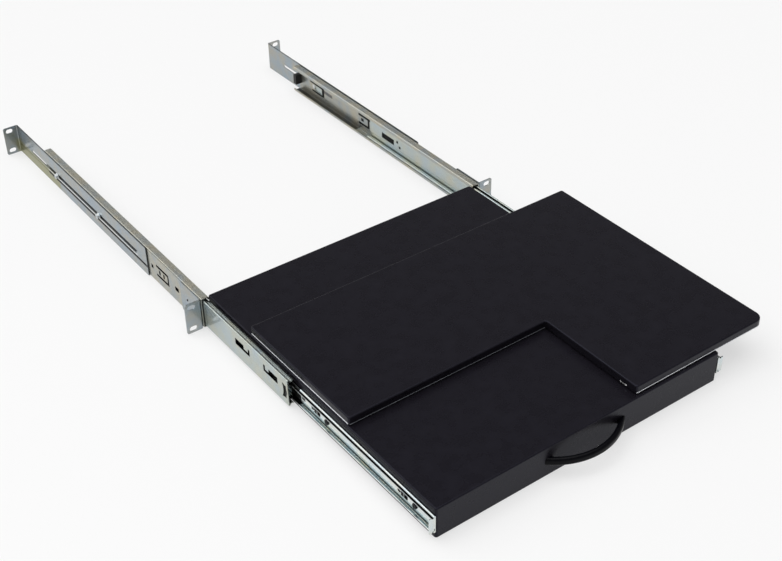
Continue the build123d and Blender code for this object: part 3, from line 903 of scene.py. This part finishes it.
    def make_latch(self, side: Side, material: bpy.types.Material) -> None:
        """Make the low bridge that is lanced out of the outer member's web near its back end.

        Args:
            side: The side of the shelf.
            material: The member's finish.
        """
        spans = (self.latch_faces, self.latch_places, self.latch_heights)
        out_x, middle_y, middle_z = ((low + high) / 2 for low, high in spans)
        out = side.outward
        bpy.ops.object.select_all(action="DESELECT")
        bpy.ops.mesh.primitive_cube_add(size=1.0, location=(out * out_x, middle_y, middle_z))
        piece = bpy.context.object
        piece.name = piece.data.name = f"stop_bridge_{side.value}"
        piece.scale = [high - low for low, high in spans]
        bpy.ops.object.transform_apply(location=True, rotation=True, scale=True)
        bpy.ops.object.mode_set(mode="EDIT")
        bpy.ops.mesh.select_all(action="SELECT")
        bpy.ops.mesh.bevel(offset=self.latch_bevel, segments=2, affect="EDGES")
        pick_faces(piece, lambda middle, normal: normal.x * out < -FACING)
        bpy.ops.mesh.inset(thickness=self.latch_rim, depth=self.latch_dip)
        bpy.ops.mesh.select_all(action="SELECT")
        bpy.ops.mesh.normals_make_consistent(inside=False)
        bpy.ops.object.mode_set(mode="OBJECT")
        finish_piece(piece, material, "rails")


# Where the arms' sheets lie from the shelf's middle, and how far the rear arms' slots run
ARM_MM = (218.0, 222.0)
ARM_EDGE_MM = (218.7, 220.5)
ARM_SLOT_RUN_MM = (166.0, 440.0)
# Painted shade in the recesses of the two screws a side of the front brackets, placed as the
# slides' marks are
SCREW_RECESSES_MM = ((-0.4, 3.4, 12.1, 15.9), (-0.4, 3.4, 31.6, 35.4))


@dataclass
class Brackets:
    """The front brackets, the sliding rear brackets and what fastens them."""

    # Folded sheet with a bluer film than the slides'
    plate: ZincPlatedSteel = ZincPlatedSteel(
        "zinc_bracket",
        base="#a3a9ab",
        cool="#9ba7b0",
        warm="#aaa9a1",
        gloss=0.16,
        drift_mm=SHEET_DRIFT_MM,
        patches=(
            # The rear left ear, darker than the others
            Patch(
                (-245.0, -218.0),
                (-22.0, 22.0),
                (530.0, 545.0),
                share=0.35,
                colour="#5d6668",
                signed=True,
            ),
            # The straw film under the slot at the back of the left arm
            Patch(
                (-226.6, -212.6),
                (-26.0, 1.0),
                (400.0, 546.0),
                share=0.8,
                colour="#9c9a70",
                soft_mm=6.0,
                signed=True,
            ),
            # A painted shadow along the slot's upper edge, a painted highlight along its lower
            # one, and painted shade along a crease line under them
            Patch(ARM_MM, (1.8, 3.8), ARM_SLOT_RUN_MM),
            Patch(ARM_MM, (-5.0, -2.6), ARM_SLOT_RUN_MM, share=0.6, colour="#f4f4f0"),
            Patch(ARM_MM, (-9.6, -5.4), (139.0, 440.0)),
            # Painted shade on the arm's cut edges on top and at its front end
            Patch(ARM_EDGE_MM, (21.2, 21.9), (139.0, 545.0), share=0.8),
            Patch(ARM_EDGE_MM, (-22.0, 22.0), (138.8, 140.6), share=0.9),
        ),
    )
    # Small turned parts with brighter plate, and painted shade in the recesses of the two screws
    # a side
    hardware: ZincPlatedSteel = ZincPlatedSteel(
        "zinc_fastener",
        base="#d2d6da",
        cool="#c6d3e0",
        warm="#d8d6c8",
        gloss=0.24,
        drift_mm=12.0,
        streak_mm=0.8,
        patches=painted_shade_marks((217.8, 221.2), SCREW_RECESSES_MM),
    )

    def build(self) -> None:
        """Dress the brackets and their fasteners."""
        plate = self.plate.build()
        hardware = self.hardware.build()
        for side in Side:
            dress(f"front_bracket_{side.value}", plate)
            dress(f"rear_bracket_{side.value}", plate)
        for name in ("bracket_screws", "slide_studs", "stud_washers", "stud_nuts"):
            dress(name, hardware)


@dataclass
class Drawer:
    """The tray with its handle, the L-shaped plate and the swivel under it."""

    # Satin black with a cool sheen
    coat: PowderCoat = PowderCoat("black_powder_coat")
    # The same, with painted highlights along the lower edges of the plate's skirts
    plate_coat: PowderCoat = PowderCoat(
        "black_powder_coat_painted_highlights",
        patches=(
            # Painted highlight on the front skirt's lower edge
            Patch(
                (76.0, 286.0),
                (21.9, 23.7),
                (-446.4, -445.2),
                colour="#e2e4e8",
                soft_mm=0.3,
                signed=True,
            ),
            # Painted highlight on the notch's back skirt's lower edge
            Patch(
                (-205.4, 76.0),
                (21.9, 23.3),
                (-296.6, -295.4),
                share=0.6,
                colour="#a9adb5",
                soft_mm=0.3,
                signed=True,
            ),
            # Painted highlight on the left skirt's lower edge
            Patch(
                (-205.4, -204.4),
                (21.9, 24.2),
                (-294.0, -96.0),
                colour="#e6e8ec",
                soft_mm=0.3,
                signed=True,
            ),
            # A painted glint round the slot in the notch's side skirt
            Patch(
                (75.0, 78.6),
                (23.5, 25.4),
                (-431.0, -420.5),
                colour="#ffffff",
                soft_mm=0.3,
                signed=True,
            ),
        ),
    )
    # Moulded ABS, blacker and less shiny than the coat
    handle: MouldedPlastic = MouldedPlastic(
        "abs_handle", base="#040408", mottle="#08080c", roughness=0.30, specular=0.08
    )
    # Natural nylon, which light enters a little
    nylon: MouldedPlastic = MouldedPlastic(
        "nylon_bearing", base="#dad7cc", mottle="#cfcabb", roughness=0.45, subsurface=0.1
    )
    # Blackened steel, dark but still a metal
    oxide: ZincPlatedSteel = ZincPlatedSteel(
        "black_oxide_bolt",
        base="#26272a",
        cool="#2c3036",
        warm="#2d2a27",
        gloss=0.38,
        drift_mm=8.0,
    )
    # The swivel's plated parts, with a patchier film
    hardware: ZincPlatedSteel = ZincPlatedSteel(
        "zinc_pivot",
        base="#cfd2d3",
        cool="#c4d0da",
        warm="#d6d2c0",
        gloss=0.28,
        drift_mm=20.0,
    )

    def build(self) -> None:
        """Dress the drawer's and the swivel's nodes."""
        finishes = {
            self.coat.build(): ("tray",),
            self.plate_coat.build(): ("top_plate",),
            self.handle.build(): ("handle",),
            self.nylon.build(): ("glides", "pivot_bearing"),
            self.oxide.build(): ("tray_bolts",),
            self.hardware.build(): (
                "tray_nuts",
                "backing_plate",
                "pivot_hub",
                "stop_pin",
                "pivot_washer",
                "pivot_nut",
                "handle_screws",
            ),
        }
        for material, nodes in finishes.items():
            for node in nodes:
                dress(node, material)


@dataclass
class Studio:
    """A pale floor, soft light and the camera at the photograph's angle."""

    camera_place: tuple[float, float, float] = (-0.79948, -1.20476, 1.00517)
    camera_degrees: tuple[float, float, float] = (53.9168, 0.8377, -36.3476)
    camera_near: float = 0.01
    lens_mm: float = 62.158
    sensor_mm: float = 36.0
    floor_z: float = -21.8 * MM
    floor_size: float = 14.0
    floor_colour: str = "#e6e6e6"
    floor_glow_share: float = 0.6
    white: str = "#ffffff"
    horizon_level: float = 0.9
    wall_level: float = 0.28
    ceiling_level: float = 2.4
    wall_degrees: tuple[float, float] = (8.0, 18.0)
    ceiling_degrees: tuple[float, float] = (56.0, 66.0)
    panel_level: float = 1.6
    panel_aim: tuple[float, float, float] = (-0.38, 0.59, 0.71)
    panel_edge: tuple[float, float] = (0.87, 0.94)
    softbox_place: tuple[float, float, float] = (-1.6, -0.2, 2.2)
    softbox_target: tuple[float, float, float] = (0.0, -0.1, 0.0)
    softbox_size: tuple[float, float] = (1.6, 1.2)
    softbox_watts: float = 10.0

    def build(self) -> None:
        """Make the camera, the world, the lamp and the floor."""
        self.add_camera()
        self.add_world()
        self.add_lamp()
        self.add_floor()
        bpy.context.scene.view_settings.view_transform = "Standard"
        log.info("studio ready")

    def add_camera(self) -> None:
        """Place the camera where the photograph was taken from."""
        bpy.ops.object.camera_add(
            location=self.camera_place,
            rotation=[math.radians(angle) for angle in self.camera_degrees],
        )
        camera = bpy.context.object
        camera.data.lens = self.lens_mm
        camera.data.sensor_width = self.sensor_mm
        camera.data.clip_start = self.camera_near
        bpy.context.scene.camera = camera

    def add_world(self) -> None:
        """Light the object from a bright ceiling over darker walls and a pale horizon.

        The walls are what a level surface mirrors at the photograph's angle. A bright panel
        stands behind on the left, which the slides' lips and grooves mirror as fine white lines.
        """
        world = bpy.data.worlds.new("studio_room")
        bpy.context.scene.world = world
        world.use_nodes = True
        tree = world.node_tree
        tree.nodes.clear()
        place = add_node(tree, "NodeTexCoord")
        split = add_node(tree, "NodeSeparateXYZ", links={0: place.outputs["Generated"]})
        toward = add_node(
            tree,
            "NodeVectorMath",
            {1: self.panel_aim},
            {0: place.outputs["Generated"]},
            operation="DOT_PRODUCT",
        )
        height = split.outputs["Z"]
        walls = [math.sin(math.radians(angle)) for angle in self.wall_degrees]
        ceiling = [math.sin(math.radians(angle)) for angle in self.ceiling_degrees]
        extra = self.ceiling_level - self.wall_level
        level = None
        for socket, (start, end), (low, high) in (
            (height, walls, (self.horizon_level, self.wall_level)),
            (height, ceiling, (0.0, extra)),
            (toward.outputs["Value"], self.panel_edge, (0.0, self.panel_level)),
        ):
            part = add_node(
                tree,
                "NodeMapRange",
                {"From Min": start, "From Max": end, "To Min": low, "To Max": high},
                {"Value": socket},
            ).outputs[0]
            if level is not None:
                part = add_node(
                    tree, "NodeMath", links={0: level, 1: part}, operation="ADD"
                ).outputs[0]
            level = part
        white = linear(self.white)
        room = add_node(tree, "NodeBackground", {"Color": white}, {"Strength": level})
        plain = add_node(tree, "NodeBackground", {"Color": white, "Strength": 1.0})
        ray = add_node(tree, "NodeLightPath")
        mix = add_node(
            tree,
            "NodeMixShader",
            links={0: ray.outputs["Is Camera Ray"], 1: room.outputs[0], 2: plain.outputs[0]},
        )
        add_node(tree, "NodeOutputWorld", links={"Surface": mix.outputs[0]})

    def add_lamp(self) -> None:
        """Hang one large softbox to the upper left of the camera."""
        bpy.ops.object.light_add(type="AREA", location=self.softbox_place)
        lamp = bpy.context.object
        lamp.name = "softbox_left"
        lamp.data.shape = "RECTANGLE"
        lamp.data.size, lamp.data.size_y = self.softbox_size
        lamp.data.energy = self.softbox_watts
        aim = Vector(self.softbox_target) - lamp.location
        lamp.rotation_euler = aim.to_track_quat("-Z", "Y").to_euler()

    def add_floor(self) -> None:
        """Lay a plain floor that the camera sees as near white, with soft shadows."""
        bpy.ops.object.select_all(action="DESELECT")
        bpy.ops.mesh.primitive_plane_add(size=self.floor_size, location=(0, 0, self.floor_z))
        floor = bpy.context.object
        floor.name = "floor"
        material, tree = new_material("matt_floor")
        diffuse = add_node(tree, "NodeBsdfDiffuse", {"Color": linear(self.floor_colour)})
        glow = add_node(tree, "NodeEmission", {"Color": linear(self.white), "Strength": 1.0})
        ray = add_node(tree, "NodeLightPath")
        seen = add_node(
            tree,
            "NodeMath",
            links={0: ray.outputs["Is Camera Ray"], 1: ray.outputs["Is Glossy Ray"]},
            operation="MAXIMUM",
        )
        share = add_node(
            tree,
            "NodeMath",
            {1: self.floor_glow_share},
            {0: seen.outputs[0]},
            operation="MULTIPLY",
        )
        mix = add_node(
            tree,
            "NodeMixShader",
            links={0: share.outputs[0], 1: diffuse.outputs[0], 2: glow.outputs[0]},
        )
        add_node(tree, "NodeOutputMaterial", links={"Surface": mix.outputs[0]})
        floor.data.materials.append(material)


def main() -> None:
    """Build the studio, then each sub-assembly in order."""
    Studio().build()
    SlidePair().build()
    Brackets().build()
    Drawer().build()


if __name__ == "__main__":
    main()
